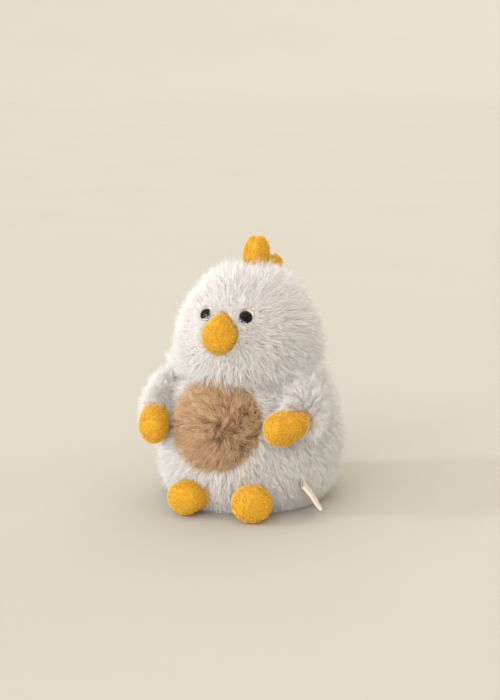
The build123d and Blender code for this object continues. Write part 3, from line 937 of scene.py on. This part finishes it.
def velboa(name, node, body, nap_way, root, reach, shape):
    """A small stuffed piece in short-pile cloth, with its filling and its nap.

    root points to the side it is sewn on by, where it reaches into its neighbour. shape gives
    its points their last form, and how much nap there is at each."""
    cover = f"{node}_cover"
    points, triangles = wrap([cover], sunk(VELBOA_DEPTH, unit(root), reach))
    points, parted = shape(points, vertex_normals(points, triangles))
    piece(f"{name}_cloth", points, triangles, MUSTARD_CLOTH, body, "mustard_velboa", [cover],
          fill=0.9)
    filling(name, f"{node}_stuffing", body, points, triangles, 0.92)
    nap(f"{name}_nap", body, MUSTARD_NAP, "mustard_velboa", points, triangles,
        np.array(nap_way), lambda places: parted[nearest_of(points, places)])


velboa("beak", "beak", "body", (0, -0.2, -1), (0, 1.0, 0), 3.0 * MM, beak_shape)
for lobe, taller in (("front", 0.0), ("rear", 1.1 * MM)):
    node = f"comb_{lobe}_lobe"
    velboa(f"comb_{lobe}", node, "body", (0, 0.2, 1), (0, -0.2, -1.0), 4.0 * MM,
           lobe_shape(centre_of(f"{node}_cover"), taller))
for name, side in SIDES.items():
    hand, foot = f"{name}_hand", f"{name}_foot"
    wrist = centre_of(f"{name}_wing_cover") - centre_of(f"{hand}_cover")
    velboa(hand, hand, f"{name}_wing", (0, -0.6, -0.6), wrist, 1.0 * MM,
           hand_shape({"left": 0.5, "right": 0.9}[name]))
    velboa(foot, foot, foot, (0, -0.6, -0.6), (-0.37 * side, 0.93, 0.0), 2.4 * MM, foot_shape)


# ---- eyes, base, label, ribbon and clasp
def paint(node, material, smooth=True):
    obj = frame["nodes"][node]
    obj.data.materials.clear()
    obj.data.materials.append(material)
    if smooth:
        obj.data.shade_smooth()


for name in SIDES:
    paint(f"{name}_eye", EYE_BLACK)
    paint(f"{name}_eye_washer", WASHER)


def tube(path, radius, sides=8):
    """Points and triangles of a round thread or wire along a list of points."""
    path = np.array(path)
    tangent = unit(np.gradient(path, axis=0))
    across = unit(np.cross(tangent, (0.31, 0.52, 0.79)))
    other = np.cross(tangent, across)
    rings = []
    for k in range(sides):
        angle = 2 * math.pi * k / sides
        rings.append(path + radius * (math.cos(angle) * across + math.sin(angle) * other))
    points = np.stack(rings, axis=1).reshape(-1, 3)
    return points, ring_triangles(len(path), sides)[:, ::-1]


def stitch(start, end, out, rise=0.22 * MM, radius=0.13 * MM):
    """One stitch of thread that goes in at each end and stands up a little between."""
    share = np.linspace(0, 1, 9)[:, None]
    path = start + (end - start) * share + out * (rise * np.sin(math.pi * share) - 0.12 * MM)
    return tube(path, radius, sides=6)


def base_panel():
    """A stiffened cloth disc with a rolled edge, whip-stitched to the torso."""
    middle, half = centre_of("base_panel"), half_size_of("base_panel")
    floor, thick, edge = middle[2] - half[2], half[2] * 1.8, 0.55 * MM
    half = half[:2] * 0.985
    profile = [(0.04 + 0.90 * k / 11, 0.12 * MM + 0.05 * MM * math.sin(k)) for k in range(12)]
    for k in range(7):
        angle = math.pi * (k / 6 - 0.5)
        profile.append((1 - (edge / half[0]) * (1 - math.cos(angle)),
                        thick / 2 + (thick / 2 - 0.1 * MM) * math.sin(angle)))
    profile += [(0.90 * k / 5, thick) for k in range(5, 0, -1)]
    points = turned(profile) * (*half, 1) + (middle[0], middle[1], floor)
    piece("base_disc", points, ring_triangles(len(profile), SPOKES), BASE_CLOTH, "body",
          "base_cloth", ["base_panel"])
    threads, stitches = [], 72
    for k in range(stitches):
        angle = 2 * math.pi * (k + 0.5) / stitches
        out = np.array((math.cos(angle), math.sin(angle), 0))
        rim = middle + out * (*half, 0)
        start = np.array((*(rim - 1.5 * MM * out)[:2], 0.32 * MM))
        end = np.array((*(rim + 0.5 * MM * out)[:2], 0.75 * MM))
        threads.append(stitch(start, end, -UP, rise=0.2 * MM))
    points, faces = joined(threads)
    points[:, 2] = np.maximum(points[:, 2], 0.02 * MM)
    piece("base_stitches", points, faces, THREAD, "body", "base_cloth")


def side_label():
    """A tape folded in half, its two ends caught in the side seam, blank on both sides."""
    root = np.array(JOINTS["label_bend"]["pos_m"])
    edge = unit(JOINTS["label_bend"]["axis"])
    reach = unit(centre_of("side_label") - root)
    face = np.cross(edge, reach)
    width, length, in_seam = 15.0 * MM, 8.5 * MM, 1.1 * MM
    section = []
    for s in np.linspace(0, 1, 22):
        r = -in_seam + s * (length + in_seam)
        section.append((r, 0.14 * MM + 0.42 * MM * smoothstep(0.25, 0.85, s)))
    fold = section[-1][1]
    bend = [(length + fold * math.cos(a), fold * math.sin(a)) for a in np.linspace(1.25, -1.25, 9)]
    section = section + bend + [(r, -n) for r, n in reversed(section)]
    rows, across = [], np.linspace(-0.5, 0.5, 41)
    for r, n in section:
        share = max(r, 0) / length
        curl = -0.5 * MM * share ** 2 - 0.9 * MM * share * across
        ripple = 0.16 * MM * share * np.sin(across * 9.0 + 0.6)
        rows.append(root + np.outer(across * width, edge) + r * reach
                    + np.outer(n + curl + ripple, face))
    points, columns = np.vstack(rows), len(across)
    first = (np.arange(len(rows) - 1)[:, None] * columns + np.arange(columns - 1)).ravel()
    faces = np.stack([first, first + 1, first + columns + 1, first + columns], axis=1)
    tape = piece("label_tape", points, faces, LABEL_TAPE, "label", "label_tape", ["side_label"])
    thicken(tape, 0.16 * MM)
    threads = []
    for across in np.linspace(-0.46, 0.46, 9):
        place = root + edge * width * across + reach * 0.4 * MM + face * 0.22 * MM
        half = edge * 0.5 * MM
        threads.append(stitch(place - half, place + half, face, radius=0.10 * MM))
    piece("label_stitches", *joined(threads), THREAD, "label", "label_tape")


def ribbon_loop():
    """A grosgrain ribbon, doubled round the bail's bar and sewn together under it."""
    half_width = half_size_of("hanging_loop")[0] - 0.15 * MM
    bar_at = float(np.linalg.norm(BAR - HANG))
    join, turn_radius, gap = 8.4 * MM, 1.62 * MM, 0.31 * MM
    tangent = 1.05                                   # angle where the ply meets the turn
    # the middle line comes out of the head's seam, bends, and runs down to the join
    inside = np.array((0.0, -7.0, 1.2)) * MM
    start = np.array((inside @ DOWN, inside @ OUT))
    corner, straight = np.array((-0.7, -0.3)) * MM, np.array((3.0, 0.0)) * MM
    s = np.linspace(0, 1, 40)[:, None]
    middle = (1 - s) ** 2 * start + 2 * s * (1 - s) * corner + s * s * straight
    middle = np.vstack([middle, np.stack([np.linspace(3.4 * MM, join, 30), np.zeros(30)], axis=1)])
    way = unit(np.gradient(middle, axis=0))
    off = gap * np.stack([-way[:, 1], way[:, 0]], axis=1)
    leave = np.array((bar_at - turn_radius * math.cos(tangent), turn_radius * math.sin(tangent)))
    s = np.linspace(0, 1, 22)[1:]
    part = np.stack([join + s * (leave[0] - join), gap + (leave[1] - gap) * s * s * (3 - 2 * s)],
                    axis=1)
    a = np.linspace(tangent, 2 * math.pi - tangent, 46)[1:-1]
    turn = np.stack([bar_at - turn_radius * np.cos(a), turn_radius * np.sin(a)], axis=1)
    path = np.vstack([middle + off, part, turn, (part * (1, -1))[::-1], (middle - off)[::-1]])
    length = np.insert(np.cumsum(np.linalg.norm(np.diff(path, axis=0), axis=1)), 0, 0)
    even = np.linspace(0, length[-1], 340)
    path = np.stack([np.interp(even, length, axis) for axis in path.T], axis=1)
    way = unit(np.gradient(path, axis=0))
    outward = np.stack([-way[:, 1], way[:, 0]], axis=1)
    rib_height, rib_pitch, columns = 0.035 * MM, 0.75 * MM, 33
    ribs = rib_height * np.sin(2 * math.pi * even / rib_pitch)
    across = np.linspace(-1, 1, columns)          # one face of the ply, and then the other
    across = np.concatenate([across, across[::-1]])
    face_sign = np.repeat((1.0, -1.0), columns)
    selvedge = smoothstep(0.86, 0.94, np.abs(across)) * smoothstep(1.0, 0.97, np.abs(across))
    thick = (0.21 * MM + 0.05 * MM * selvedge) * np.sqrt(np.clip(1.02 - across ** 12, 0.02, 1))
    rows = []
    for place, out, rib in zip(path, outward, ribs):
        flat = place + np.outer(face_sign * (thick + rib * (1 - selvedge)), out)
        rows.append(HANG + np.outer(flat[:, 0], DOWN) + np.outer(flat[:, 1], OUT)
                    + np.outer(across * half_width, (1.0, 0.0, 0.0)))
    ribbon = new_object("ribbon_loop", np.vstack(rows), ring_triangles(len(rows), len(across)),
                        RIBBON)
    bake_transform(ribbon)
    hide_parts("hanging_loop")
    threads = []
    for row in (join - 1.7 * MM, join - 0.5 * MM):
        for sign in (1, -1):
            for k in range(10):
                x = half_width * 0.86 * (k / 4.5 - 1)
                place = HANG + DOWN * row + OUT * sign * (gap + 0.26 * MM) + np.array((x, 0, 0))
                slant = np.array((0.33 * MM, 0, 0)) + DOWN * 0.28 * MM * (1 if k % 2 else -1)
                threads.append(stitch(place - slant, place + slant, OUT * sign, rise=0.2 * MM,
                                      radius=0.10 * MM))
    piece("ribbon_stitches", *joined(threads), THREAD, "loop", "ribbon")


def gate_spring():
    """A coil of fine wire round the gate's pin, with one short straight leg at its end."""
    middle = centre_of("clasp_spring")
    radius = half_size_of("clasp_spring")[0] - 0.10 * MM
    wire, span, turns = 0.075 * MM, 0.34 * MM, 2.5       # the wire's radius, the coil's length
    angle = np.linspace(0, 2 * math.pi * turns, 90)
    path = [middle + radius * (math.cos(a) * np.array((1.0, 0, 0)) + math.sin(a) * DOWN)
            + OUT * span * (a / angle[-1] - 0.5) for a in angle]
    leg = [path[-1] - DOWN * k * 0.25 * MM for k in range(1, 5)]
    piece("gate_spring_coil", *tube(path + leg, wire), NICKEL, "hook", "clasp_metal",
          ["clasp_spring"])


def rounded_metal(node, body, width):
    """A plated copy of a clasp part, with the small radius that casting leaves on its edges."""
    source = frame["nodes"][node]
    bm = bmesh.new()
    bm.from_mesh(source.data)
    bmesh.ops.remove_doubles(bm, verts=bm.verts, dist=0.002 * MM)
    bmesh.ops.dissolve_limit(bm, angle_limit=math.radians(2.0), verts=bm.verts, edges=bm.edges)
    mesh = bpy.data.meshes.new(f"{node}_plated")
    bm.to_mesh(mesh)
    bm.free()
    obj = bpy.data.objects.new(f"{node}_plated", mesh)
    bpy.context.scene.collection.objects.link(obj)
    mesh.materials.append(NICKEL)
    bevel = obj.modifiers.new("edges", "BEVEL")
    bevel.width = width
    bevel.segments = 3
    bevel.limit_method = "ANGLE"
    bevel.angle_limit = math.radians(38)
    apply_modifiers(obj)
    obj.data.shade_smooth()
    obj.data.set_sharp_from_angle(angle=math.radians(40))
    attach(obj, body)
    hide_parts(node)


base_panel()
side_label()
ribbon_loop()
gate_spring()
rounded_metal("clasp_bail", "bail", 0.22 * MM)
rounded_metal("clasp_hook", "hook", 0.22 * MM)
rounded_metal("clasp_gate", "gate", 0.12 * MM)
paint("clasp_gate_pin", NICKEL, smooth=False)
